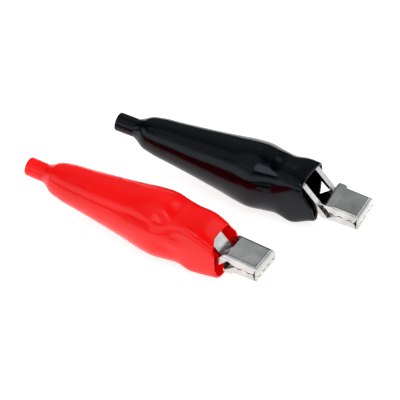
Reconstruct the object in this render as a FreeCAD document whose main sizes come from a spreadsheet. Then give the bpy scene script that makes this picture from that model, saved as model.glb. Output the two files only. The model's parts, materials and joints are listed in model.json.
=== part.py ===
import FreeCAD, Part
import os
import Sketcher

# A pair of insulated cross-action alligator clips, one red and one black.
# Each clip lies along its own X axis: cable sleeve at X = 0, jaw tip at X = jaw_tip.
# Y is across the clip and Z is up, with the closed jaws meeting on the plane Z = 0.
# The black clip lies the way it is drawn. The red clip is the same clip rolled half a turn
# about its own X axis, so its fork leg carries the upper jaw instead of the lower one.

Vector = FreeCAD.Vector
document = FreeCAD.newDocument("alligator_clips")
dims = document.addObject("Spreadsheet::Sheet", "dims")

DIMENSIONS = {
    # overall places
    "jaw_tip": 55.0,
    "black_tail_x": -22.645,
    "black_tail_y": 8.939,
    "black_tail_z": 7.85,
    "black_roll": 0.0,
    "black_tilt": 2.0,
    "black_turn": 3.0,
    "red_tail_x": -32.422,
    "red_tail_y": -9.569,
    "red_tail_z": 6.39,
    "red_roll": 180.0,
    "red_tilt": -0.65,
    "red_turn": -1.85,
    # sheet steel of the legs
    "steel": 0.55,
    # jaw heads
    "head_rear": 47.8,
    "head_half_width": 3.5,
    "head_front_height": 1.9,
    "head_rear_height": 2.15,
    "head_edge_radius": 1.0,
    "head_inner_radius": 0.45,
    "waist_depth": 0.3,
    "skirt_cut_rear": 1.35,
    "skirt_cut_length": 2.3,
    "upper_tooth_depth": 0.24,
    "lower_tooth_depth": 0.14,
    "jaw_gap": 0.16,
    "corner_slit": 0.22,
    "front_waves": 9.0,
    "side_waves": 5.0,
    "waist_start": 0.6,
    "wave_beyond": 0.5,
    "wave_overlap": 1.0,
    "notch_height": 0.75,
    "head_overlap": 0.05,
    # crossing of the two legs
    "window_half_width": 2.25,
    "window_rear": 40.6,
    "window_corner": 1.0,
    "arm_foot_x": 48.5,
    "arm_foot_z": -1.75,
    "arm_top_x": 42.1,
    "arm_top_z": 4.85,
    "flange_depth": 0.9,
    "flange_rear": 34.0,
    "flange_rear_drop": 1.1,
    "flange_lap": 0.2,
    "flange_foot": 1.15,
    "foot_overlap": 1.6,
    "strip_half_width": 1.85,
    "strip_top_x": 47.6,
    "strip_top_z": 1.95,
    "strip_foot_x": 40.5,
    "strip_foot_z": -4.85,
    "strip_shoulder": 1.6,
    "strip_narrows_from": 4.0,
    "strip_narrows_to": 2.0,
    "strip_foot_drop": 0.04,
    "neck_first_x": 0.5,
    "neck_first_out": 0.15,
    "neck_second_x": 0.9,
    "neck_second_out": 0.45,
    "neck_last_x": 1.3,
    "bend_radius": 1.0,
    # legs inside the boot
    "leg_start": 16.2,
    "leg_bend": 17.2,
    "leg_start_z": 2.0,
    "fork_tail_half_width": 2.95,
    "strip_tail_half_width": 2.3,
    "strip_leg_half_width": 2.9,
    # hinge at the tail of the legs
    "hinge_x": 15.0,
    "pin_radius": 0.7,
    "pin_clearance": 0.03,
    "ear_radius": 1.55,
    "rivet_head_radius": 1.2,
    "rivet_head_height": 0.4,
    "side_clearance": 0.05,
    # spring around the pin
    "spring_wire_radius": 0.22,
    "coil_radius": 1.12,
    "coil_start_y": 1.3,
    "coil_pitch": 0.54,
    "coil_turns": 3.5,
    "spring_arm_reach": 10.0,
    "spring_arm_rise": 1.2,
    # wire lug held by the pin
    "lug_rear": 6.8,
    "lug_front": 11.0,
    "lug_radius": 1.7,
    "lug_bore": 1.15,
    "lug_tongue_half_height": 1.35,
    "lug_tongue_overlap": 0.4,
    "lug_plate": 0.6,
    "screw_x": 8.9,
    "screw_radius": 0.8,
    "screw_reach": 0.2,
    "screw_head_radius": 1.3,
    "screw_head_height": 0.75,
    "screw_seat": 1.7,
    "screw_slot": 0.35,
    # boot
    "wall": 0.58,
    "sleeve_radius": 1.97,
    "sleeve_bore": 1.4,
    "sleeve_length": 4.5,
    "sleeve_edge": 0.4,
    "bore_overlap": 0.5,
    "mouth_level": 7.0,
    "mouth_beyond": 47.5,
    "black_mouth_high": 42.8,
    "black_mouth_low": 46.2,
    "red_mouth_high": 46.2,
    "red_mouth_low": 43.8,
}

# Outside sections of the boot, from the shoulder behind the sleeve to the mouth:
# place along the clip, half width, half height and corner radius.
BOOT_SECTIONS = [
    (4.3, 1.97, 1.97, 1.93),
    (5.3, 2.45, 2.45, 2.40),
    (6.5, 3.15, 3.15, 3.05),
    (8.8, 3.65, 3.65, 3.55),
    (13.0, 4.15, 4.25, 4.00),
    (20.0, 5.15, 5.30, 4.90),
    (25.0, 5.85, 6.05, 5.60),
    (29.0, 6.30, 6.60, 5.95),
    (32.0, 6.40, 6.72, 5.90),
    (34.5, 5.95, 6.40, 5.20),
    (37.0, 5.30, 6.15, 4.20),
    (39.8, 5.00, 6.30, 3.10),
    (42.5, 4.90, 6.12, 2.75),
    (46.4, 4.75, 5.60, 2.60),
]
SECTION_NAMES = ["section_x", "section_half_width", "section_half_height", "section_corner"]


def fill_sheet():
    values = dict(DIMENSIONS)
    for index, section in enumerate(BOOT_SECTIONS):
        for name, number in zip(SECTION_NAMES, section):
            values[name + "_" + chr(ord("a") + index)] = number
    for row, (alias, number) in enumerate(values.items(), start=1):
        dims.set("A%d" % row, alias)
        dims.set("B%d" % row, str(number))
        dims.setAlias("B%d" % row, alias)
    document.recompute()


def size(expression):
    """The number that an expression of sheet names gives."""
    return float(dims.evalExpression(bound(expression)))


def bound(expression):
    """The expression with every sheet name written the way another object reads it."""
    words = []
    for word in expression.replace("(", " ( ").replace(")", " ) ").split():
        first = word.lstrip("-")
        if first[:1].isalpha():
            word = word[: len(word) - len(first)] + "dims." + first
        words.append(word)
    return " ".join(words)


def plane(body, role):
    return [item for item in body.Origin.OriginFeatures if item.Role == role][0]


def new_body(name):
    body = document.addObject("PartDesign::Body", name)
    body.Label = name
    return body


def new_sketch(body, role, offset=None):
    sketch = body.newObject("Sketcher::SketchObject", body.Name + "_sketch")
    sketch.AttachmentSupport = [(plane(body, role), "")]
    sketch.MapMode = "FlatFace"
    if offset:
        sketch.AttachmentOffset = FreeCAD.Placement(Vector(0, 0, size(offset)), FreeCAD.Rotation())
        sketch.setExpression("AttachmentOffset.Base.z", bound(offset))
    return sketch


def fix_point(sketch, geometry, end, corner):
    """Hold one end of a piece of sketch geometry at a corner given by two expressions."""
    for kind, expression in zip(("DistanceX", "DistanceY"), corner):
        number = size(expression)
        index = sketch.addConstraint(Sketcher.Constraint(kind, -1, 1, geometry, end, number))
        if number:
            sketch.setExpression("Constraints[%d]" % index, bound(expression))


def draw_lines(sketch, corners, closed=True):
    """A chain of straight lines through the corners, each corner fixed by the sheet."""
    points = [Vector(size(x), size(y), 0) for x, y in corners]
    first = sketch.GeometryCount
    following = points[1:] + points[:1] if closed else points[1:]
    for start, finish in zip(points, following):
        sketch.addGeometry(Part.LineSegment(start, finish), False)
    last = sketch.GeometryCount - 1
    for index in range(first, last):
        sketch.addConstraint(Sketcher.Constraint("Coincident", index, 2, index + 1, 1))
    if closed:
        sketch.addConstraint(Sketcher.Constraint("Coincident", last, 2, first, 1))
    for index, corner in enumerate(corners[: last - first + 1]):
        fix_point(sketch, first + index, 1, corner)
    if not closed:
        fix_point(sketch, last, 2, corners[-1])


def round_corner(sketch, line, radius):
    """Round the corner at the far end of a line with a tangent arc."""
    sketch.fillet(line, 2, size(radius), True, False)
    arc = max(i for i in range(sketch.GeometryCount) if hasattr(sketch.Geometry[i], "Radius"))
    index = sketch.addConstraint(Sketcher.Constraint("Radius", arc, size(radius)))
    sketch.setExpression("Constraints[%d]" % index, bound(radius))


def draw_circle(sketch, x, y, radius):
    centre = Vector(size(x), size(y), 0)
    index = sketch.addGeometry(Part.Circle(centre, Vector(0, 0, 1), size(radius)), False)
    fix_point(sketch, index, 3, (x, y))
    place = sketch.addConstraint(Sketcher.Constraint("Radius", index, size(radius)))
    sketch.setExpression("Constraints[%d]" % place, bound(radius))


def pad(body, sketch, length, midplane=True, reverse=False):
    feature = body.newObject("PartDesign::Pad", body.Name + "_pad")
    feature.Profile = sketch
    feature.SideType = "Symmetric" if midplane else "One side"
    feature.Reversed = reverse
    feature.Length = size(length)
    feature.setExpression("Length", bound(length))
    document.recompute()
    return feature


def pocket(body, sketch, length, midplane=True, reverse=False):
    before = body.Shape.Volume
    feature = body.newObject("PartDesign::Pocket", body.Name + "_pocket")
    feature.Profile = sketch
    feature.SideType = "Symmetric" if midplane else "One side"
    feature.Reversed = reverse
    feature.Length = size(length)
    feature.setExpression("Length", bound(length))
    document.recompute()
    if not body.Shape.Volume < before - 1e-6:
        raise RuntimeError(feature.Name + " removes nothing")
    return feature


def fillet_edges(body, radius, wanted):
    """Round every edge of the body that the test picks."""
    base = body.Tip
    names = ["Edge%d" % (i + 1) for i, edge in enumerate(base.Shape.Edges) if wanted(edge)]
    feature = body.newObject("PartDesign::Fillet", body.Name + "_fillet")
    feature.Base = (base, names)
    feature.Radius = size(radius)
    feature.setExpression("Radius", bound(radius))
    document.recompute()
    return feature


# ---------------------------------------------------------------- sheet steel legs

def sweep_sheet(body, corners, half_width):
    """A band of sheet steel bent along a side line that starts level."""
    path = new_sketch(body, "XZ_Plane")
    draw_lines(path, corners, closed=False)
    for line in range(len(corners) - 2):
        round_corner(path, line, "bend_radius")
    start_x, start_z = corners[0]
    section = new_sketch(body, "YZ_Plane", start_x)
    low = start_z + " - steel / 2"
    high = start_z + " + steel / 2"
    draw_lines(section, [
        ("-" + half_width, low), (half_width, low), (half_width, high), ("-" + half_width, high)])
    document.recompute()
    feature = body.newObject("PartDesign::AdditivePipe", body.Name + "_pipe")
    feature.Profile = section
    feature.Spine = path
    document.recompute()
    return feature


def trim_sides(body, outline):
    """Cut the band to the half widths of an outline, a list of (x, half width), on both sides."""
    beyond = "head_half_width + 1"
    for sign in ("", "-"):
        sketch = new_sketch(body, "XY_Plane")
        inner = [(x, sign + "( " + half + " )") for x, half in outline]
        outer = [(x, sign + "( " + beyond + " )") for x in (outline[-1][0], outline[0][0])]
        draw_lines(sketch, inner + outer)
        pocket(body, sketch, "jaw_tip")


def add_ears(body, side, half_width):
    """Two hinge ears under the start of the leg, with the hole for the pin."""
    sketch = new_sketch(body, "XZ_Plane")
    web = side + "( leg_start_z + steel / 2 )"
    rear = Vector(size("hinge_x - ear_radius"), 0, 0)
    foot = Vector(size("hinge_x"), -size(side + "ear_radius"), 0)
    head = Vector(size("hinge_x"), size(side + "ear_radius"), 0)
    start = Vector(size("leg_start"), size(web), 0)
    front = Vector(size("leg_bend"), size(web), 0)
    sketch.addGeometry(Part.Arc(foot, rear, head), False)
    sketch.addGeometry(Part.LineSegment(head, start), False)
    sketch.addGeometry(Part.LineSegment(start, front), False)
    sketch.addGeometry(Part.LineSegment(front, foot), False)
    draw_circle(sketch, "hinge_x", "0", "pin_radius + pin_clearance")
    pad(body, sketch, "2 * " + half_width)
    inside = new_sketch(body, "XZ_Plane")
    low = side + "( - ear_radius - 1 )"
    high = side + "( leg_start_z - steel / 2 )"
    draw_lines(inside, [
        ("hinge_x - 2 * ear_radius", low), ("leg_bend + 1", low),
        ("leg_bend + 1", high), ("hinge_x - 2 * ear_radius", high)])
    pocket(body, inside, "2 * " + half_width + " - 2 * steel")


def wave(sketch, start, finish, level, depth, count):
    """A wavy line of arcs from one place to another along the sketch's first axis."""
    step = (finish - start) / count
    for index in range(count):
        x = start + index * step
        bulge = depth if index % 2 else -depth
        middle = Vector(x + step / 2, level + bulge, 0)
        sketch.addGeometry(Part.Arc(Vector(x, level, 0), middle, Vector(x + step, level, 0)), False)


def close_wave(sketch, start, finish, level, beyond):
    """The straight sides that close a wavy line into an outline on one side."""
    corners = [(finish, level), (finish, beyond), (start, beyond), (start, level)]
    for (x, z), (next_x, next_z) in zip(corners, corners[1:]):
        sketch.addGeometry(Part.LineSegment(Vector(x, z, 0), Vector(next_x, next_z, 0)), False)


def add_head(body, side, hollow_rear):
    """A jaw head: a plate with a front skirt and two side skirts down to wavy teeth."""
    outline = new_sketch(body, "XZ_Plane")
    draw_lines(outline, [
        ("head_rear", side + "( head_rear_height )"),
        ("jaw_tip", side + "( head_front_height )"),
        ("jaw_tip", side + "( jaw_gap / 2 - upper_tooth_depth )"),
        ("head_rear + skirt_cut_length", side + "( jaw_gap / 2 - upper_tooth_depth )"),
        ("head_rear", side + "( skirt_cut_rear )")])
    pad(body, outline, "2 * head_half_width")
    round_head(body, side, "0", "0", "head_edge_radius")
    inside = new_sketch(body, "XZ_Plane")
    draw_lines(inside, [
        (hollow_rear, side + "( head_rear_height - steel )"),
        ("jaw_tip - steel", side + "( head_front_height - steel )"),
        ("jaw_tip - steel", side + "( - 1 )"),
        (hollow_rear, side + "( - 1 )")])
    pocket(body, inside, "2 * head_half_width - 2 * steel - 2 * waist_depth")
    round_head(body, side, "steel", "steel + waist_depth", "head_inner_radius")


NEAR = 0.05
LONG = 4.0


def round_head(body, side, below, within, radius):
    """Round the plate's front and side bends, on faces that lie this far below and within its outside."""
    height = size("head_front_height - ( " + below + " )")
    tip = size("jaw_tip - ( " + below + " )")
    half = size("head_half_width - ( " + within + " )")

    def on_bend(edge):
        centre = edge.BoundBox.Center
        level = height - NEAR < abs(centre.z) < height + 4 * NEAR and centre.z * size(side + "1") > 0
        along_side = abs(abs(centre.y) - half) < NEAR and edge.BoundBox.XLength > LONG
        along_front = abs(centre.x - tip) < NEAR and edge.BoundBox.YLength > LONG
        return level and (along_side or along_front)

    fillet_edges(body, radius, on_bend)


def waist_head(body):
    """Hollow the two sides of the head slightly, deepest in the middle."""
    sketch = new_sketch(body, "XY_Plane")
    rear = size("head_rear + waist_start")
    front = size("jaw_tip")
    for sign in (1, -1):
        edge = sign * size("head_half_width")
        deep = sign * size("head_half_width - waist_depth")
        middle = Vector((rear + front) / 2, deep, 0)
        sketch.addGeometry(Part.Arc(Vector(rear, edge, 0), middle, Vector(front, edge, 0)), False)
        sketch.addGeometry(Part.LineSegment(Vector(front, edge, 0), Vector(rear, edge, 0)), False)
    pocket(body, sketch, "jaw_tip")


def cut_teeth(body, side):
    """Wavy teeth along the front and along both sides."""
    sign = size(side + "1")
    level = sign * size("jaw_gap / 2")
    beyond = -sign * size("head_half_width")
    inner_front = size("jaw_tip - steel")
    depth = size("upper_tooth_depth" if level > 0 else "lower_tooth_depth")
    along = new_sketch(body, "XZ_Plane")
    start = size("head_rear + skirt_cut_length - wave_overlap")
    wave(along, start, inner_front, level, depth, int(size("side_waves")))
    close_wave(along, start, inner_front, level, beyond)
    pocket(body, along, "3 * head_half_width")
    across = new_sketch(body, "YZ_Plane", "jaw_tip - steel")
    half = size("head_half_width + wave_beyond")
    wave(across, -half, half, level, depth, int(size("front_waves")))
    close_wave(across, -half, half, level, beyond)
    pocket(body, across, "4 * steel", midplane=False, reverse=True)


def slit_corners(body, side):
    """A narrow wedge between the front skirt and each side skirt."""
    sketch = new_sketch(body, "XZ_Plane")
    draw_lines(sketch, [
        ("jaw_tip - steel", side + "( head_front_height - steel )"),
        ("jaw_tip - steel - corner_slit / 2", side + "( head_front_height - steel )"),
        ("jaw_tip - steel - corner_slit", side + "( notch_height )"),
        ("jaw_tip - steel - 4 * corner_slit", side + "( - upper_tooth_depth )"),
        ("jaw_tip - steel", side + "( - upper_tooth_depth )")])
    pocket(body, sketch, "3 * head_half_width")


def finish_head(body, side, hollow_rear):
    add_head(body, side, hollow_rear)
    waist_head(body)
    cut_teeth(body, side)
    slit_corners(body, side)


def build_fork_leg(name):
    """The leg with a window: top of the boot, two arms past the other leg, lower jaw."""
    body = new_body(name)
    sweep_sheet(body, [
        ("leg_start", "leg_start_z"), ("leg_bend", "leg_start_z"),
        ("arm_top_x", "arm_top_z"), ("arm_foot_x", "arm_foot_z"),
        ("arm_foot_x + foot_overlap", "arm_foot_z")], "head_half_width")
    trim_sides(body, [
        ("leg_start - 1", "fork_tail_half_width"), ("leg_bend", "fork_tail_half_width"),
        ("flange_rear", "head_half_width")])
    add_flanges(body)
    cut_window(body)
    add_ears(body, "", "fork_tail_half_width")
    finish_head(body, "-", "arm_foot_x")
    return body


def add_flanges(body):
    """Flanges along both edges of the arms, turned away from the boot."""
    sketch = new_sketch(body, "XZ_Plane")
    draw_lines(sketch, [
        ("flange_rear", "arm_top_z - flange_rear_drop"),
        ("arm_top_x - flange_lap", "arm_top_z"),
        ("arm_foot_x", "arm_foot_z"),
        ("arm_foot_x - 2 * flange_lap", "arm_foot_z - steel / 2"),
        ("arm_foot_x - flange_foot", "arm_foot_z - steel / 2"),
        ("arm_top_x - flange_depth", "arm_top_z - flange_depth - steel / 2"),
        ("flange_rear", "arm_top_z - flange_depth - flange_rear_drop")])
    pad(body, sketch, "2 * head_half_width")
    inside = new_sketch(body, "XZ_Plane")
    slope = "( arm_top_z - leg_start_z ) / ( arm_top_x - leg_bend )"
    draw_lines(inside, [
        ("flange_rear - 1", "arm_top_z - ( arm_top_x - flange_rear + 1 ) * " + slope + " - steel / 2"),
        ("arm_top_x - flange_lap", "arm_top_z - steel / 2"),
        ("arm_foot_x - flange_lap", "arm_foot_z - steel / 2"),
        ("arm_foot_x - flange_lap", "arm_foot_z - 2 * flange_depth"),
        ("flange_rear - 1", "arm_foot_z - 2 * flange_depth")])
    pocket(body, inside, "2 * head_half_width - 2 * steel")


def cut_window(body):
    """The open slot in the web that the other leg passes through."""
    sketch = new_sketch(body, "XY_Plane")
    front = "arm_foot_x - steel / 2"
    draw_lines(sketch, [
        ("window_rear", "- window_half_width"), (front, "- window_half_width"),
        (front, "window_half_width"), ("window_rear", "window_half_width")])
    round_corner(sketch, 2, "window_corner")
    round_corner(sketch, 3, "window_corner")
    pocket(body, sketch, "jaw_tip")


def build_strip_leg(name):
    """The leg that narrows to a strip: bottom of the boot, through the window, upper jaw."""
    body = new_body(name)
    sweep_sheet(body, [
        ("leg_start", "- leg_start_z"), ("leg_bend", "- leg_start_z"),
        ("strip_foot_x", "strip_foot_z"), ("strip_top_x", "strip_top_z"),
        ("strip_top_x + foot_overlap", "strip_top_z - strip_foot_drop")], "head_half_width")
    shoulder = "strip_top_x - strip_shoulder"
    trim_sides(body, [
        ("leg_start - 1", "strip_tail_half_width"), ("leg_bend", "strip_tail_half_width"),
        ("strip_foot_x - strip_narrows_from", "strip_leg_half_width"),
        ("strip_foot_x - strip_narrows_to", "strip_half_width"),
        (shoulder, "strip_half_width"),
        (shoulder + " + neck_first_x", "strip_half_width + neck_first_out"),
        (shoulder + " + neck_second_x", "strip_half_width + neck_second_out"),
        (shoulder + " + neck_last_x", "head_half_width")])
    add_ears(body, "-", "strip_tail_half_width")
    finish_head(body, "", "head_rear - head_overlap")
    return body


# ---------------------------------------------------------------- hinge, spring and wire lug

def build_hinge_pin(name):
    """A rivet across both pairs of ears, with a flat head on each end."""
    body = new_body(name)
    shank = new_sketch(body, "XZ_Plane")
    draw_circle(shank, "hinge_x", "0", "pin_radius")
    reach = "2 * ( fork_tail_half_width + side_clearance + rivet_head_height )"
    pad(body, shank, reach)
    for sign in ("", "-"):
        head = new_sketch(body, "XZ_Plane", sign + "( fork_tail_half_width + side_clearance )")
        draw_circle(head, "hinge_x", "0", "rivet_head_radius")
        pad(body, head, "rivet_head_height", midplane=False, reverse=sign == "-")
    return body


def build_torsion_spring(name):
    """One wire: an arm along the fork leg, a coil round the pin, an arm along the strip leg."""
    turn = size("coil_radius")
    wire = size("spring_wire_radius")
    height = size("coil_pitch * coil_turns")
    reach = size("spring_arm_reach")
    rise = size("spring_arm_rise")
    top = Vector(size("hinge_x"), size("coil_start_y"), turn)
    bottom = top - Vector(0, height, 2 * turn)
    far_top = top + Vector(reach, 0, rise)
    far_bottom = bottom + Vector(reach, 0, -rise)
    coil = Part.makeHelix(size("coil_pitch"), height, turn)
    top_to_rear = FreeCAD.Rotation(Vector(0, 0, 1), Vector(-1, 0, 0), Vector(0, -1, 0), "XYZ")
    coil.Placement = FreeCAD.Placement(Vector(top.x, top.y, 0), top_to_rear)
    path = Part.Wire([Part.makeLine(far_top, top)] + coil.Edges + [Part.makeLine(bottom, far_bottom)])
    section = Part.Wire(Part.makeCircle(wire, far_top, far_top - top))
    spring = document.addObject("Part::Feature", name)
    spring.Label = name
    spring.Shape = path.makePipeShell([section], True, False)
    return spring


def build_wire_lug(name):
    """A barrel for the wire at the boot's tail and a flat tongue with an eye on the pin."""
    body = new_body(name)
    barrel = new_sketch(body, "YZ_Plane", "lug_rear")
    draw_circle(barrel, "0", "0", "lug_radius")
    draw_circle(barrel, "0", "0", "lug_bore")
    pad(body, barrel, "lug_front - lug_rear", midplane=False)
    tongue = new_sketch(body, "XZ_Plane", "lug_radius - lug_plate")
    rear = Vector(size("lug_front - lug_tongue_overlap"), -size("lug_tongue_half_height"), 0)
    top_rear = Vector(rear.x, -rear.y, 0)
    eye_low = Vector(size("hinge_x"), rear.y, 0)
    eye_tip = Vector(size("hinge_x + lug_tongue_half_height"), 0, 0)
    eye_high = Vector(size("hinge_x"), -rear.y, 0)
    tongue.addGeometry(Part.LineSegment(top_rear, rear), False)
    tongue.addGeometry(Part.LineSegment(rear, eye_low), False)
    tongue.addGeometry(Part.Arc(eye_low, eye_tip, eye_high), False)
    tongue.addGeometry(Part.LineSegment(eye_high, top_rear), False)
    draw_circle(tongue, "hinge_x", "0", "pin_radius + pin_clearance")
    pad(body, tongue, "lug_plate", midplane=False)
    hole = new_sketch(body, "XY_Plane")
    draw_circle(hole, "screw_x", "0", "screw_radius")
    pocket(body, hole, "2 * lug_radius", midplane=False, reverse=True)
    return body


def build_terminal_screw(name):
    """The slotted screw that presses the wire against the floor of the lug."""
    body = new_body(name)
    shank = new_sketch(body, "XY_Plane", "screw_reach")
    draw_circle(shank, "screw_x", "0", "screw_radius")
    pad(body, shank, "screw_seat - screw_reach", midplane=False)
    head = new_sketch(body, "XY_Plane", "screw_seat")
    draw_circle(head, "screw_x", "0", "screw_head_radius")
    pad(body, head, "screw_head_height", midplane=False)
    slot = new_sketch(body, "XY_Plane", "screw_seat + screw_head_height")
    draw_lines(slot, [
        ("screw_x - 2 * screw_head_radius", "- screw_slot / 2"),
        ("screw_x + 2 * screw_head_radius", "- screw_slot / 2"),
        ("screw_x + 2 * screw_head_radius", "screw_slot / 2"),
        ("screw_x - 2 * screw_head_radius", "screw_slot / 2")])
    pocket(body, slot, "screw_head_height / 2", midplane=False)
    return body


# ---------------------------------------------------------------- boot

def boot_section(body, letter, thinner):
    """One rounded rectangle across the boot, inset from the outside by a distance."""
    sketch = new_sketch(body, "YZ_Plane", "section_x_" + letter)
    half_width = "section_half_width_" + letter + " - " + thinner
    half_height = "section_half_height_" + letter + " - " + thinner
    corner = "section_corner_" + letter + " - " + thinner
    left = "- ( " + half_width + " )"
    low = "- ( " + half_height + " )"
    draw_lines(sketch, [(left, low), (half_width, low), (half_width, half_height), (left, half_height)])
    for line in range(4):
        round_corner(sketch, line, corner)
    return sketch


def loft(body, kind, sections):
    feature = body.newObject("PartDesign::" + kind, body.Name + "_loft")
    feature.Profile = sections[0]
    feature.Sections = sections[1:]
    feature.Ruled = False
    document.recompute()
    return feature


def trim_mouth(body, colour):
    """Cut the mouth slanting, so that its lower lip reaches further forward than its upper lip."""
    sketch = new_sketch(body, "XZ_Plane")
    draw_lines(sketch, [
        (colour + "_mouth_high", "mouth_level"), (colour + "_mouth_low", "- mouth_level"),
        ("mouth_beyond", "- mouth_level"), ("mouth_beyond", "mouth_level")])
    pocket(body, sketch, "4 * head_half_width")


def build_boot(name):
    """A dipped sleeve with a bulging belly, a waist and an open mouth for the legs."""
    body = new_body(name)
    letters = [chr(ord("a") + index) for index in range(len(BOOT_SECTIONS))]
    loft(body, "AdditiveLoft", [boot_section(body, letter, "0") for letter in letters])
    sleeve = new_sketch(body, "YZ_Plane")
    draw_circle(sleeve, "0", "0", "sleeve_radius")
    pad(body, sleeve, "sleeve_length", midplane=False)
    fillet_edges(body, "sleeve_edge", lambda edge: edge.BoundBox.XMax < 0.01)
    inside = [boot_section(body, letter, "wall") for letter in letters[2:]]
    loft(body, "SubtractiveLoft", inside)
    bore = new_sketch(body, "YZ_Plane")
    draw_circle(bore, "0", "0", "sleeve_bore")
    pocket(body, bore, "section_x_c + bore_overlap", midplane=False, reverse=True)
    trim_mouth(body, name.split("_")[0])
    return body


# ---------------------------------------------------------------- the two clips

def place(piece, colour):
    """Lay a piece of one clip in the pair's frame: rolled, tilted, turned and moved."""
    roll = FreeCAD.Rotation(Vector(1, 0, 0), size(colour + "_roll"))
    tilt = FreeCAD.Rotation(Vector(0, 1, 0), size(colour + "_tilt"))
    turn = FreeCAD.Rotation(Vector(0, 0, 1), size(colour + "_turn"))
    piece.Placement = FreeCAD.Placement(Vector(0, 0, 0), turn.multiply(tilt).multiply(roll))
    for axis in ("x", "y", "z"):
        piece.setExpression("Placement.Base." + axis, "dims." + colour + "_tail_" + axis)


BUILDERS = {
    "boot": build_boot,
    "fork_leg": build_fork_leg,
    "strip_leg": build_strip_leg,
    "hinge_pin": build_hinge_pin,
    "torsion_spring": build_torsion_spring,
    "wire_lug": build_wire_lug,
    "terminal_screw": build_terminal_screw,
}

fill_sheet()
pieces = []
for colour in ("black", "red"):
    for kind, build in BUILDERS.items():
        piece = build(colour + "_" + kind)
        place(piece, colour)
        pieces.append(piece)
document.recompute()

for item in document.Objects:
    if "Invalid" in item.State or "Error" in item.State:
        raise RuntimeError(item.Name + " failed: " + ", ".join(item.State))
for piece in pieces:
    if piece.Shape.isNull() or not piece.Shape.isValid() or len(piece.Shape.Solids) != 1:
        raise RuntimeError(piece.Label + " is not one valid solid")

os.makedirs("parts", exist_ok=True)
for piece in pieces:
    piece.Shape.exportStep("parts/" + piece.Label + ".step")
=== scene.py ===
import json
import math

import bpy
import numpy as np
from mathutils import Matrix, Vector


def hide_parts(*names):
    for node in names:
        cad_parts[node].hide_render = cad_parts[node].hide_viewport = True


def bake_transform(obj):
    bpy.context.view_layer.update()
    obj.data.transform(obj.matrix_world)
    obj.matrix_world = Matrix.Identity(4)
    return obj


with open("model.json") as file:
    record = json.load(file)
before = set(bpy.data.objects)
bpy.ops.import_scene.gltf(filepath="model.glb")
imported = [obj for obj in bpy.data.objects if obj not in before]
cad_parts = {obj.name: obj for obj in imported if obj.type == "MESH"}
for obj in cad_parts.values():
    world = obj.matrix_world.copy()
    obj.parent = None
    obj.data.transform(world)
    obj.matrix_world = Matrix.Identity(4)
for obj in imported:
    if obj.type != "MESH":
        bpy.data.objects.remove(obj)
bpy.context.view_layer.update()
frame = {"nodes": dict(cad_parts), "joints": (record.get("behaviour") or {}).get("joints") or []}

# A pair of insulated cross-action alligator clips: glossy dipped vinyl boots over pressed,
# nickel-plated steel legs. A clip's own frame is in millimetres: X from the end of the cable
# sleeve to the jaw tip, Y across, Z up, with its origin on the sleeve's axis.

MM = 0.001
COLOURS = ("black", "red")
# The hinge pin's place along a clip.
HINGE_X = 15.0
# How far each clip's jaw end points downwards as it rests on its belly, in degrees.
TILT = {"black": 2.0, "red": -0.65}


# ---------------------------------------------------------------- where the clips lie

def clip_matrix(colour):
    """From a clip's own frame, in millimetres, to the pair's frame, in metres."""
    joint = next(j for j in frame["joints"] if j["name"] == colour + "_jaw_hinge")
    vertical = Vector((0, 0, 1))
    across = Vector(joint["axis"])
    if across.y < 0:
        across = -across
    level = across.cross(vertical)
    tilt = math.radians(TILT[colour])
    along = level * math.cos(tilt) - vertical * math.sin(tilt)
    up = vertical * math.cos(tilt) + level * math.sin(tilt)
    tail = Vector(joint["pos_m"]) - along * HINGE_X * MM
    columns = [along * MM, across * MM, up * MM, tail]
    rows = [[column[row] for column in columns] for row in range(3)]
    return Matrix(rows + [[0, 0, 0, 1]])


CLIP = {colour: clip_matrix(colour) for colour in COLOURS}


# ---------------------------------------------------------------- materials

class Nodes:
    """Shorthand for building one node material on a Principled shader. Noise scales are per metre."""

    def __init__(self, name):
        self.material = bpy.data.materials.new(name)
        self.material.use_nodes = True
        self.tree = self.material.node_tree
        self.tree.nodes.clear()
        self.shader = self.add("ShaderNodeBsdfPrincipled")
        output = self.add("ShaderNodeOutputMaterial")
        self.link(self.shader.outputs["BSDF"], output.inputs["Surface"])
        self.place = self.add("ShaderNodeTexCoord").outputs["Object"]

    def add(self, kind):
        return self.tree.nodes.new(kind)

    def link(self, start, end):
        self.tree.links.new(start, end)

    def drive(self, socket, output):
        self.link(output, self.shader.inputs[socket])

    def set(self, **values):
        for key, value in values.items():
            self.shader.inputs[key.replace("_", " ")].default_value = value

    def stretched(self, scale):
        mapping = self.add("ShaderNodeMapping")
        mapping.inputs["Scale"].default_value = scale
        self.link(self.place, mapping.inputs["Vector"])
        return mapping.outputs["Vector"]

    def noise(self, scale, detail=3.0, roughness=0.5, vector=None):
        node = self.add("ShaderNodeTexNoise")
        node.inputs["Scale"].default_value = scale
        node.inputs["Detail"].default_value = detail
        node.inputs["Roughness"].default_value = roughness
        self.link(vector or self.place, node.inputs["Vector"])
        return node.outputs["Fac"]

    def ramp(self, factor, stops):
        node = self.add("ShaderNodeValToRGB")
        for element, (position, colour) in zip(node.color_ramp.elements, stops):
            element.position = position
            element.color = colour
        self.link(factor, node.inputs["Fac"])
        return node.outputs["Color"]

    def spread(self, factor, low, high):
        """Stretch the middle of a noise over a range of values."""
        node = self.add("ShaderNodeMapRange")
        values = {"From Min": 0.3, "From Max": 0.7, "To Min": low, "To Max": high}
        for key, value in values.items():
            node.inputs[key].default_value = value
        self.link(factor, node.inputs["Value"])
        return node.outputs["Result"]

    def bump(self, height, strength, distance, below=None):
        node = self.add("ShaderNodeBump")
        node.inputs["Strength"].default_value = strength
        node.inputs["Distance"].default_value = distance
        self.link(height, node.inputs["Height"])
        if below:
            self.link(below, node.inputs["Normal"])
        return node.outputs["Normal"]


VINYL_IOR = 1.42
# How much rougher the dullest places of the vinyl are than the glossiest.
VINYL_DULLING = 0.08


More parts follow.
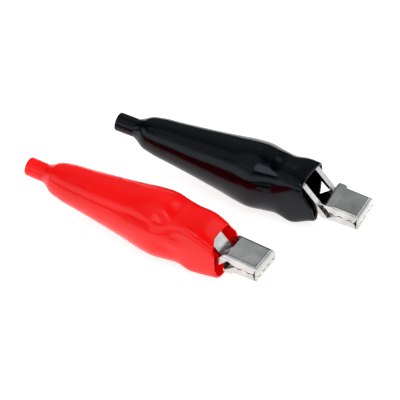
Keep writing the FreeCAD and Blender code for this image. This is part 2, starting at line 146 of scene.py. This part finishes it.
def vinyl(name, deep, bright, gloss, skin):
    """Dipped vinyl: a gloss over a skin that is never quite even."""
    nodes = Nodes(name)
    drift = nodes.noise(scale=130.0, detail=2.0)
    nodes.drive("Base Color", nodes.ramp(drift, [(0.3, deep), (0.7, bright)]))
    smears = nodes.noise(scale=420.0)
    nodes.drive("Roughness", nodes.spread(smears, gloss, gloss + VINYL_DULLING))
    waves = nodes.bump(nodes.noise(scale=230.0, detail=2.0), strength=skin, distance=0.4 * MM)
    pits = nodes.noise(scale=2600.0, detail=4.0)
    nodes.drive("Normal", nodes.bump(pits, strength=0.1, distance=0.05 * MM, below=waves))
    nodes.set(IOR=VINYL_IOR)
    return nodes


def black_vinyl():
    """Almost black, with a blue cast in what it reflects."""
    deep = (0.0006, 0.0008, 0.0016, 1)
    bright = (0.0012, 0.0015, 0.0028, 1)
    nodes = vinyl("black_vinyl_gloss", deep, bright, gloss=0.08, skin=0.16)
    nodes.set(Specular_Tint=(0.85, 0.92, 1.0, 1), Specular_IOR_Level=0.26)
    return nodes.material


def red_vinyl():
    """A pure red that light goes into a little way, with a faint painted glow, an emission, that lifts
    its shaded side to the same pure red.
    """
    deep = (0.7, 0.0004, 0.0006, 1)
    bright = (0.79, 0.0008, 0.001, 1)
    nodes = vinyl("red_vinyl_gloss", deep, bright, gloss=0.16, skin=0.2)
    nodes.set(Specular_IOR_Level=0.4, Subsurface_Weight=0.6)
    nodes.set(Subsurface_Scale=1.5 * MM, Subsurface_Radius=(1.0, 0.02, 0.02))
    # Painted light: the red skin glows faintly by itself, so its shaded side stays a bright pure red.
    nodes.set(Emission_Color=(1.0, 0.0005, 0.0005, 1), Emission_Strength=0.16)
    return nodes.material


# The lines of rolling: long along the clips and fine across them, as noise scales per metre.
ROLLING = (300.0, 5200.0, 5200.0)


def rolled_steel(name, dull, clean, rough):
    """Plated steel with the fine lines of rolling along the leg and a few soft stains."""
    nodes = Nodes(name)
    stain = nodes.noise(scale=240.0, detail=4.0, roughness=0.6)
    nodes.drive("Base Color", nodes.ramp(stain, [(0.3, dull), (0.62, clean)]))
    lines = nodes.noise(scale=1.0, detail=3.0, roughness=0.7, vector=nodes.stretched(ROLLING))
    speckle = nodes.noise(scale=3600.0, detail=3.0, roughness=0.75)
    nodes.drive("Roughness", nodes.spread(speckle, rough - 0.05, rough + 0.08))
    lined = nodes.bump(lines, strength=0.25, distance=0.03 * MM)
    nodes.drive("Normal", nodes.bump(speckle, strength=0.55, distance=0.02 * MM, below=lined))
    nodes.set(Metallic=1.0)
    return nodes.material


MATERIALS = {
    "black_boot": black_vinyl(),
    "red_boot": red_vinyl(),
    "leg": rolled_steel("nickel_plate", (0.43, 0.42, 0.405, 1), (0.63, 0.62, 0.6, 1), 0.16),
    "hinge_pin": rolled_steel("rivet_steel", (0.42, 0.41, 0.4, 1), (0.6, 0.59, 0.57, 1), 0.3),
    "torsion_spring": rolled_steel("spring_wire", (0.3, 0.3, 0.31, 1), (0.46, 0.46, 0.47, 1), 0.28),
    "wire_lug": rolled_steel("tinned_brass", (0.55, 0.52, 0.45, 1), (0.74, 0.72, 0.68, 1), 0.34),
    "terminal_screw": rolled_steel("zinc_screw", (0.48, 0.5, 0.53, 1), (0.66, 0.68, 0.7, 1), 0.26),
}


def paint(thing, material):
    thing.data.materials.clear()
    thing.data.materials.append(material)


def paint_cad_nodes():
    """Every CAD node gets its finish, also the ones that a boot hides."""
    for colour in COLOURS:
        for kind in ("fork_leg", "strip_leg"):
            paint(frame["nodes"][colour + "_" + kind], MATERIALS["leg"])
        for kind in ("hinge_pin", "wire_lug", "terminal_screw", "torsion_spring"):
            paint(frame["nodes"][colour + "_" + kind], MATERIALS[kind])
        paint(frame["nodes"][colour + "_boot"], MATERIALS[colour + "_boot"])


def add_mesh(name, points, faces, material):
    mesh = bpy.data.meshes.new(name)
    mesh.from_pydata([tuple(point) for point in points], [], faces)
    mesh.validate()
    mesh.shade_smooth()
    thing = bpy.data.objects.new(name, mesh)
    bpy.context.scene.collection.objects.link(thing)
    thing.data.materials.append(material)
    return thing


# ---------------------------------------------------------------- boots

WALL = 0.58
BORE = 1.4
SLEEVE_RADIUS = 1.95
SLEEVE_EDGE = 0.35
SLEEVE_END = 4.3
CHAMBER_REAR = 6.6
CHAMBER_REAR_RADIUS = 2.1
# The skin is made for a plain rim, square to the clip, and stretched to the real one from here on.
STRETCH_FROM = 36.0
PLAIN_RIM = 42.5
# From the last plain ring of the wall to where the rim starts to round over.
RIM_STEP = 0.1
# Points in a ring, and rings in each stretch of the skin.
AROUND = 168
SLEEVE_RINGS = 10
BORE_RINGS = 12
EDGE_RINGS = 5
OUTER_RINGS = 150
RIM_RINGS = 9
INNER_RINGS = 110
# Outside of the boot: place along the clip, half width, half height, corner radius.
BOOT_SECTIONS = np.array([
    (4.3, 1.95, 1.95, 1.93),
    (5.3, 2.45, 2.45, 2.42),
    (6.5, 3.18, 3.18, 3.10),
    (8.8, 3.76, 3.76, 3.62),
    (13.0, 4.20, 4.28, 4.02),
    (20.0, 5.04, 5.17, 4.78),
    (25.0, 5.74, 5.92, 5.46),
    (29.0, 6.27, 6.57, 5.90),
    (32.0, 6.37, 6.69, 5.85),
    (34.5, 5.92, 6.37, 5.15),
    (37.0, 5.30, 6.12, 4.15),
    (39.8, 5.00, 6.27, 3.05),
    (42.5, 4.90, 6.09, 2.70),
    (46.4, 4.72, 5.55, 2.60),
])
# How quickly a section's flat sides turn into its corners.
SIDE_FLATNESS = 3.0
# The skin is plain at the sleeve, and its dents and swellings grow to their full height here.
DENTS_START = (5.0, 9.0)
# Soft dents and swellings of the skin: place along the clip, angle round it in degrees from
# +Y towards +Z, reach along, reach round in degrees, and height, all lengths in millimetres.
DENTS = {
    "black": [
        (35.6, 205, 2.4, 22, -0.26), (35.4, 158, 2.2, 20, -0.16), (35.6, 335, 2.2, 22, -0.25),
        (35.4, 25, 2.2, 22, -0.25), (38.8, 132, 2.0, 18, -0.16), (38.4, 52, 1.8, 18, -0.22),
        (38.4, 308, 1.8, 18, -0.20), (38.2, 232, 1.8, 18, -0.18), (40.8, 212, 1.4, 12, 0.10),
        (40.6, 148, 1.4, 12, 0.12), (31.2, 208, 2.0, 16, 0.12), (30.8, 158, 2.4, 14, 0.12),
        (37.0, 178, 2.4, 16, 0.14), (37.2, 0, 2.4, 16, 0.14),
        (25.0, 200, 4.0, 18, -0.10), (22.0, 20, 5.0, 20, -0.10), (17.0, 170, 4.0, 25, 0.08),
        (12.0, 250, 3.0, 30, 0.06), (28.5, 330, 3.0, 15, 0.10)],
    "red": [
        (36.2, 200, 2.4, 24, -0.28), (35.4, 150, 2.0, 20, -0.30), (35.6, 335, 2.2, 22, -0.28),
        (35.6, 100, 1.4, 26, -0.30), (35.4, 25, 2.0, 22, -0.28), (38.6, 122, 1.4, 14, 0.22),
        (33.0, 128, 1.5, 12, -0.26), (31.2, 138, 1.8, 11, 0.22), (38.4, 160, 1.5, 10, -0.26),
        (36.6, 172, 1.8, 9, 0.24), (34.6, 178, 1.6, 9, -0.2), (32.6, 160, 1.6, 9, 0.2),
        (38.4, 52, 1.6, 16, -0.22), (39.8, 215, 1.4, 12, 0.12), (29.8, 165, 2.2, 12, 0.14),
        (26.5, 150, 2.4, 10, -0.12), (24.0, 205, 4.0, 18, -0.10), (22.0, 20, 5.0, 20, -0.10),
        (16.0, 165, 4.0, 25, 0.08), (12.0, 240, 3.0, 30, 0.06), (28.5, 330, 3.0, 15, 0.10)],
}
# The raised pad over a leg's edge: where its front end is, where it rises and falls before and
# after that, and between which angles its two edges slope. It winds round the boot.
PAD_HEIGHT = 0.38
PAD_FRONT = {"black": 36.0, "red": 34.6}
PAD_RISE = (-11.0, -4.0)
PAD_FALL = (-1.6, 1.2)
PAD_FIRST_EDGE = (55.0, 92.0)
PAD_SECOND_EDGE = (94.0, 128.0)
PAD_DEGREES_PER_MM = 0.8
# How much further forward the black boot's rim reaches than a plain one: on the far side, at the
# bottom of its near side, and beside the near arm, whose height and reach up and down follow.
BLACK_FAR_SIDE = 0.6
BLACK_SLANT = 3.3
BLACK_BESIDE_ARM = 0.8
ARM_HEIGHT = 1.0
ARM_SPREAD = 2.2
# The place of the red boot's rim, how far its top draws back, how much more that is on the far
# side, and how far its bottom reaches forward.
RED_RIM = 45.8
RED_TOP_BACK = 0.5
RED_FAR_TOP_BACK = 0.9
RED_BOTTOM_FORWARD = 0.5
# The shares of its height that the skin loses towards the mouth; the red top draws in twice, at
# the waist and at the lip, and its far side loses a share of its width too.
BLACK_BOTTOM_LOSS = 0.42
RED_WAIST_LOSS = 0.12
RED_LIP_LOSS = 0.24
RED_BOTTOM_LOSS = 0.07
RED_FAR_SIDE_LOSS = 0.5


def ease(value, low, high):
    """A smooth rise from 0 at the low value to 1 at the high one."""
    t = min(max((value - low) / (high - low), 0.0), 1.0)
    return t * t * (3 - 2 * t)


def section_at(x):
    """Half width, half height and corner radius on a smooth curve through the sections."""
    places = BOOT_SECTIONS[:, 0]
    values = BOOT_SECTIONS[:, 1:]
    slopes = np.gradient(values, places, axis=0)
    index = int(np.clip(np.searchsorted(places, x) - 1, 0, len(places) - 2))
    width = places[index + 1] - places[index]
    t = min(max((x - places[index]) / width, 0.0), 1.0)
    rise = t * t * (3 - 2 * t)
    level = (1 - rise) * values[index] + rise * values[index + 1]
    return level + width * (t * (1 - t) ** 2 * slopes[index] - t * t * (1 - t) * slopes[index + 1])


def pad_height(colour, x, turn):
    """How high the pad stands: it grows slowly from the tail and stops short at the waist."""
    front = PAD_FRONT[colour]
    rising = ease(x, front + PAD_RISE[0], front + PAD_RISE[1])
    falling = ease(x, front + PAD_FALL[0], front + PAD_FALL[1])
    along = rising * (1 - falling)
    place = turn + PAD_DEGREES_PER_MM * (front - x)
    across = ease(place, *PAD_FIRST_EDGE) * (1 - ease(place, *PAD_SECOND_EDGE))
    return PAD_HEIGHT * along * across


def skin_height(colour, x, angle):
    """How far the skin stands out from its plain section."""
    height = pad_height(colour, x, math.degrees(angle))
    for place, around, reach, spread, rise in DENTS[colour]:
        turn = (math.degrees(angle) - around + 180) % 360 - 180
        height += rise * math.exp(-((x - place) / reach) ** 2 - (turn / spread) ** 2)
    return height * ease(x, *DENTS_START)


def soft_sign(value):
    return math.tanh(SIDE_FLATNESS * value) / math.tanh(SIDE_FLATNESS)


def black_rim_place(y, z):
    """The black boot's rim slants: its near side runs forward downwards, and most beside the arm."""
    near_side = ease(-y, -4.5, 4.0)
    slant = BLACK_SLANT * ease(5.8 - z, 0.0, 9.5)
    beside_arm = BLACK_BESIDE_ARM * math.exp(-((z - ARM_HEIGHT) / ARM_SPREAD) ** 2)
    return PLAIN_RIM + BLACK_FAR_SIDE * (1 - near_side) + near_side * (slant + beside_arm)


def red_rim_place(y, z):
    """The red boot's rim is nearly square: its top draws back, most on the far side."""
    upper_lip = (RED_TOP_BACK + RED_FAR_TOP_BACK * ease(y, -4.5, -1.5)) * ease(z, 2.6, 4.6)
    lower_lip = RED_BOTTOM_FORWARD * ease(-z, 2.5, 5.0)
    return RED_RIM - upper_lip + lower_lip


RIM_PLACE = {"black": black_rim_place, "red": red_rim_place}


def black_lip_shares(x, y, z):
    """The black boot's bottom rises to the legs where they cross."""
    if z < 0:
        return 1 - BLACK_BOTTOM_LOSS * ease(x, 40.3, 46.2), 1.0
    return 1.0, 1.0


def red_lip_shares(x, y, z):
    """The red boot's top comes down to the legs and its far side narrows; its bottom rises a little."""
    if z > 0:
        loss = RED_WAIST_LOSS * ease(x, 36.0, 41.0) + RED_LIP_LOSS * ease(x, 40.3, 46.5)
        far_side = ease(y, -1.0, 5.0) * ease(z, 0.0, 4.0)
        return 1 - loss, 1 - RED_FAR_SIDE_LOSS * loss * far_side
    return 1 - RED_BOTTOM_LOSS * ease(x, 39.8, 45.8), 1.0


# The shares of its height and width that the skin keeps where it draws in towards the mouth.
LIP_SHARES = {"black": black_lip_shares, "red": red_lip_shares}


def section_point(x, angle, inset):
    half_width, half_height, corner = section_at(x)
    c = math.cos(angle)
    s = math.sin(angle)
    y = (half_width - corner) * soft_sign(c) + (corner - inset) * c
    z = (half_height - corner) * soft_sign(s) + (corner - inset) * s
    return y, z


def wall_point(colour, x, angle, inset):
    """A point of the boot's wall, an inset below its outer skin. X is as on a boot with a plain rim."""
    if x > STRETCH_FROM:
        y, z = section_point(x, angle, 0.0)
        reach = (RIM_PLACE[colour](y, z) - STRETCH_FROM) / (PLAIN_RIM - STRETCH_FROM)
        x = STRETCH_FROM + (x - STRETCH_FROM) * reach
    y, z = section_point(x, angle, inset)
    grow = 1 + skin_height(colour, x, angle) / math.hypot(y, z)
    height_share, width_share = LIP_SHARES[colour](x, y, z)
    return Vector((x, y * grow * width_share, z * grow * height_share))


def boot_rings(colour):
    """Rings of points out of the bore, over the sleeve and the belly, round the rim and back in."""
    angles = [2 * math.pi * i / AROUND for i in range(AROUND)]
    rings = []

    def round_ring(x, radius):
        rings.append([Vector((x, radius * math.cos(a), radius * math.sin(a))) for a in angles])

    def wall_ring(x, inset):
        rings.append([wall_point(colour, x, a, inset) for a in angles])

    for x in np.linspace(CHAMBER_REAR, 0.15, BORE_RINGS):
        round_ring(x, BORE)
    for turn in np.linspace(0, math.pi / 2, EDGE_RINGS):
        x = SLEEVE_EDGE * (1 - math.cos(turn))
        round_ring(x, SLEEVE_RADIUS - SLEEVE_EDGE * (1 - math.sin(turn)))
    for x in np.linspace(SLEEVE_EDGE + 0.3, SLEEVE_END - 0.2, SLEEVE_RINGS):
        round_ring(x, SLEEVE_RADIUS)
    half_wall = WALL / 2
    before_rim = PLAIN_RIM - half_wall - RIM_STEP
    for x in np.linspace(SLEEVE_END, before_rim, OUTER_RINGS):
        wall_ring(x, 0.0)
    for turn in np.linspace(0, math.pi, RIM_RINGS):
        wall_ring(PLAIN_RIM - half_wall * (1 - math.sin(turn)), half_wall * (1 - math.cos(turn)))
    for x in np.linspace(before_rim, CHAMBER_REAR + 0.2, INNER_RINGS):
        wall_ring(x, WALL)
    round_ring(CHAMBER_REAR, CHAMBER_REAR_RADIUS)
    return rings


def build_boot(colour):
    """One closed skin, with a real wall, an open mouth and an open cable sleeve."""
    rings = boot_rings(colour)
    points = [CLIP[colour] @ point for ring in rings for point in ring]
    # The soft belly lies flat where it rests on the table.
    for point in points:
        point.z = max(point.z, 0.0)
    faces = []
    for row in range(len(rings)):
        below = row * AROUND
        above = (row + 1) % len(rings) * AROUND
        for i in range(AROUND):
            j = (i + 1) % AROUND
            faces.append((below + i, above + i, above + j, below + j))
    boot = add_mesh(colour + "_boot_skin", points, faces, MATERIALS[colour + "_boot"])
    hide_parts(colour + "_boot")
    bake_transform(boot)


# ---------------------------------------------------------------- torsion springs

WIRE = 0.22
COIL_RADIUS = 1.12
COIL_PITCH = 0.54
COIL_TURNS = 3.5
COIL_START_Y = 1.3
COIL_POINTS = 127
ARM_REACH = 10.0
ARM_RISE = 1.2
ARM_POINTS = 9
WIRE_AROUND = 12


def spring_path():
    """The wire's centre line: an arm along the top leg, the coil round the pin, an arm below."""
    drop = COIL_PITCH * COIL_TURNS
    path = []
    for t in np.linspace(1, 0, ARM_POINTS)[:-1]:
        path.append(Vector((HINGE_X + ARM_REACH * t, COIL_START_Y, COIL_RADIUS + ARM_RISE * t)))
    for t in np.linspace(0, 1, COIL_POINTS):
        turn = 2 * math.pi * COIL_TURNS * t
        path.append(Vector((HINGE_X - COIL_RADIUS * math.sin(turn), COIL_START_Y - drop * t,
                            COIL_RADIUS * math.cos(turn))))
    for t in np.linspace(0, 1, ARM_POINTS)[1:]:
        path.append(Vector((HINGE_X + ARM_REACH * t, COIL_START_Y - drop, -COIL_RADIUS - ARM_RISE * t)))
    return path


def wire_points(path):
    """Rings of points round the path, none of them twisted against its neighbour."""
    side = Vector((0, 1, 0))
    points = []
    for i, centre in enumerate(path):
        ahead = (path[min(i + 1, len(path) - 1)] - path[max(i - 1, 0)]).normalized()
        side = (side - ahead * side.dot(ahead)).normalized()
        other = ahead.cross(side)
        for k in range(WIRE_AROUND):
            turn = 2 * math.pi * k / WIRE_AROUND
            points.append(centre + (side * math.cos(turn) + other * math.sin(turn)) * WIRE)
    return points


def build_spring(colour):
    """Drawn wire swept along the path, with closed ends."""
    path = spring_path()
    # The red clip lies rolled half a turn, so its spring does too.
    if colour == "red":
        path = [Vector((point.x, -point.y, -point.z)) for point in path]
    points = [CLIP[colour] @ point for point in wire_points(path)]
    faces = []
    for i in range(len(path) - 1):
        row = i * WIRE_AROUND
        for k in range(WIRE_AROUND):
            j = (k + 1) % WIRE_AROUND
            faces.append((row + k, row + j, row + WIRE_AROUND + j, row + WIRE_AROUND + k))
    last = (len(path) - 1) * WIRE_AROUND
    faces.append(tuple(range(WIRE_AROUND))[::-1])
    faces.append(tuple(last + k for k in range(WIRE_AROUND)))
    spring = add_mesh(colour + "_spring_wire", points, faces, MATERIALS["torsion_spring"])
    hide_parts(colour + "_torsion_spring")
    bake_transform(spring)


# ---------------------------------------------------------------- floor, lights, camera

FLOOR_RADIUS = 1.6
FLOOR_EDGES = 96
OVERHEAD_DIRECTION = Vector((0.1, 0.3, 1.0))
OVERHEAD_DISTANCE = 0.6
OVERHEAD_SIZE = 0.9
OVERHEAD_POWER = 2.2


def add_floor():
    """White paper, lit a little from within as the ground of a product picture is."""
    nodes = Nodes("studio_paper")
    tint = nodes.noise(scale=9.0, detail=3.0)
    grey = (0.66, 0.66, 0.655, 1)
    paler = (0.675, 0.675, 0.67, 1)
    nodes.drive("Base Color", nodes.ramp(tint, [(0.3, grey), (0.7, paler)]))
    nodes.set(Roughness=0.9, Specular_IOR_Level=0.0)
    nodes.set(Emission_Color=(1, 1, 1, 1), Emission_Strength=0.78)
    turns = [2 * math.pi * i / FLOOR_EDGES for i in range(FLOOR_EDGES)]
    points = [(FLOOR_RADIUS * math.cos(turn), FLOOR_RADIUS * math.sin(turn), 0) for turn in turns]
    add_mesh("floor", points, [tuple(range(FLOOR_EDGES))], nodes.material)


def add_overhead():
    """A wide soft light above the pair, which the gloss doesn't show."""
    light = bpy.data.lights.new("overhead", "AREA")
    light.size = OVERHEAD_SIZE
    light.energy = OVERHEAD_POWER
    lamp = bpy.data.objects.new("overhead", light)
    lamp.location = OVERHEAD_DIRECTION.normalized() * OVERHEAD_DISTANCE
    lamp.rotation_euler = OVERHEAD_DIRECTION.to_track_quat("Z", "Y").to_euler()
    lamp.visible_glossy = False
    bpy.context.scene.collection.objects.link(lamp)


# What the gloss sees: a direction, the cosines where its glow starts and is full, and its strength.
GLOWS = [
    ((-0.40, 0.60, 0.70), 0.74, 0.97, 0.28),
    ((-0.34, 0.60, 0.73), 0.990, 0.999, 0.3),
    ((0.34, 0.62, 0.71), 0.955, 0.99, 1.1),
    ((0.76, 0.61, 0.20), 0.97, 0.995, 1.3),
    ((0.72, 0.61, 0.34), 0.93, 0.99, 0.12),
    ((0.70, 0.58, 0.41), 0.988, 0.998, 0.8),
    ((-0.35, -0.25, 0.90), 0.90, 0.985, 0.6),
    ((-0.35, -0.66, 0.66), 0.95, 0.995, 0.7),
    ((0.42, -0.42, 0.80), 0.97, 0.992, 2.5),
    ((0.0, -0.48, 0.88), 0.980, 0.998, 3.2),
]
# A long soft box low on one side: the cosines where it starts and is full, and the heights where
# it starts, is full, starts to fade and is gone.
BOX_SIDE = (-0.30, -0.95, 0.0)
BOX_FACING = (0.2, 0.7)
BOX_HEIGHTS = (0.10, 0.20, 0.40, 0.68)
BOX_STRENGTH = 1.8
DARK_COLOUR = (0.93, 0.97, 1.0, 1)
DARK_LEVEL = 0.055
BRIGHT_COLOUR = (0.98, 0.99, 1.0, 1)
BRIGHT_LEVEL = 0.72


class Sky:
    """Shorthand for building the world's nodes out of smooth steps along directions."""

    def __init__(self, world):
        world.use_nodes = True
        self.tree = world.node_tree
        self.tree.nodes.clear()
        self.place = self.add("ShaderNodeTexCoord").outputs["Generated"]

    def add(self, kind):
        return self.tree.nodes.new(kind)

    def link(self, start, end):
        self.tree.links.new(start, end)

    def step(self, direction, start, full, strength=1.0):
        """A smooth rise from 0 to a strength along a direction."""
        toward = self.add("ShaderNodeVectorMath")
        toward.operation = "DOT_PRODUCT"
        self.link(self.place, toward.inputs[0])
        toward.inputs[1].default_value = Vector(direction).normalized()
        rise = self.add("ShaderNodeMapRange")
        rise.interpolation_type = "SMOOTHSTEP"
        values = {"From Min": start, "From Max": full, "To Min": 0.0, "To Max": strength}
        for key, value in values.items():
            rise.inputs[key].default_value = value
        self.link(toward.outputs["Value"], rise.inputs["Value"])
        return rise.outputs["Result"]

    def feed(self, socket, value):
        """Give a socket a number or the output of another node."""
        if isinstance(value, float):
            socket.default_value = value
        else:
            self.link(value, socket)

    def combine(self, operation, first, second):
        node = self.add("ShaderNodeMath")
        node.operation = operation
        self.feed(node.inputs[0], first)
        self.feed(node.inputs[1], second)
        return node.outputs["Value"]

    def background(self, colour, strength):
        node = self.add("ShaderNodeBackground")
        node.inputs["Color"].default_value = colour
        self.feed(node.inputs["Strength"], strength)
        return node.outputs["Background"]


def add_world():
    """A studio that is white to matt surfaces; in reflections it is dark with a few soft glows."""
    world = bpy.data.worlds.new("studio")
    world.cycles.sampling_method = "NONE"
    bpy.context.scene.world = world
    sky = Sky(world)
    low, lit, fading, gone = BOX_HEIGHTS
    above = sky.step((0, 0, 1), low, lit)
    below = sky.step((0, 0, -1), -gone, -fading)
    facing = sky.step(BOX_SIDE, *BOX_FACING, BOX_STRENGTH)
    total = sky.combine("MULTIPLY", sky.combine("MULTIPLY", above, below), facing)
    for direction, start, full, strength in GLOWS:
        total = sky.combine("ADD", total, sky.step(direction, start, full, strength))
    dark = sky.background(DARK_COLOUR, sky.combine("ADD", total, DARK_LEVEL))
    bright = sky.background(BRIGHT_COLOUR, BRIGHT_LEVEL)
    mix = sky.add("ShaderNodeMixShader")
    sky.link(sky.add("ShaderNodeLightPath").outputs["Is Glossy Ray"], mix.inputs["Fac"])
    sky.link(bright, mix.inputs[1])
    sky.link(dark, mix.inputs[2])
    output = sky.add("ShaderNodeOutputWorld")
    sky.link(mix.outputs["Shader"], output.inputs["Surface"])


VIEW_AZIMUTH = math.radians(29.5)
VIEW_ELEVATION = math.radians(45.0)
VIEW_CENTRE = Vector((0, 0, 6.75)) * MM
SHIFT_RIGHT = 1.115 * MM
SHIFT_UP = -1.66 * MM
LENS = 450.0
SENSOR = 36.0
# How much of the object's plane the picture takes in from side to side.
FIELD = 79.12 * MM


def add_camera():
    """A long lens that looks down from the red clip's side, a little from the jaws' end."""
    sin_a = math.sin(VIEW_AZIMUTH)
    cos_a = math.cos(VIEW_AZIMUTH)
    sin_e = math.sin(VIEW_ELEVATION)
    cos_e = math.cos(VIEW_ELEVATION)
    right = Vector((cos_a, sin_a, 0))
    up = Vector((-sin_a * sin_e, cos_a * sin_e, cos_e))
    back = Vector((sin_a * cos_e, -cos_a * cos_e, sin_e))
    data = bpy.data.cameras.new("camera")
    data.lens = LENS
    data.sensor_width = SENSOR
    data.clip_start = 0.01
    data.clip_end = 10
    camera = bpy.data.objects.new("camera", data)
    distance = FIELD * LENS / SENSOR
    camera.location = VIEW_CENTRE + right * SHIFT_RIGHT + up * SHIFT_UP + back * distance
    rows = [[right[i], up[i], back[i]] for i in range(3)]
    camera.rotation_euler = Matrix(rows).to_euler()
    bpy.context.scene.collection.objects.link(camera)
    bpy.context.scene.camera = camera


bpy.context.scene.view_settings.view_transform = "Standard"
paint_cad_nodes()
for each in COLOURS:
    build_boot(each)
    build_spring(each)
add_floor()
add_world()
add_overhead()
add_camera()
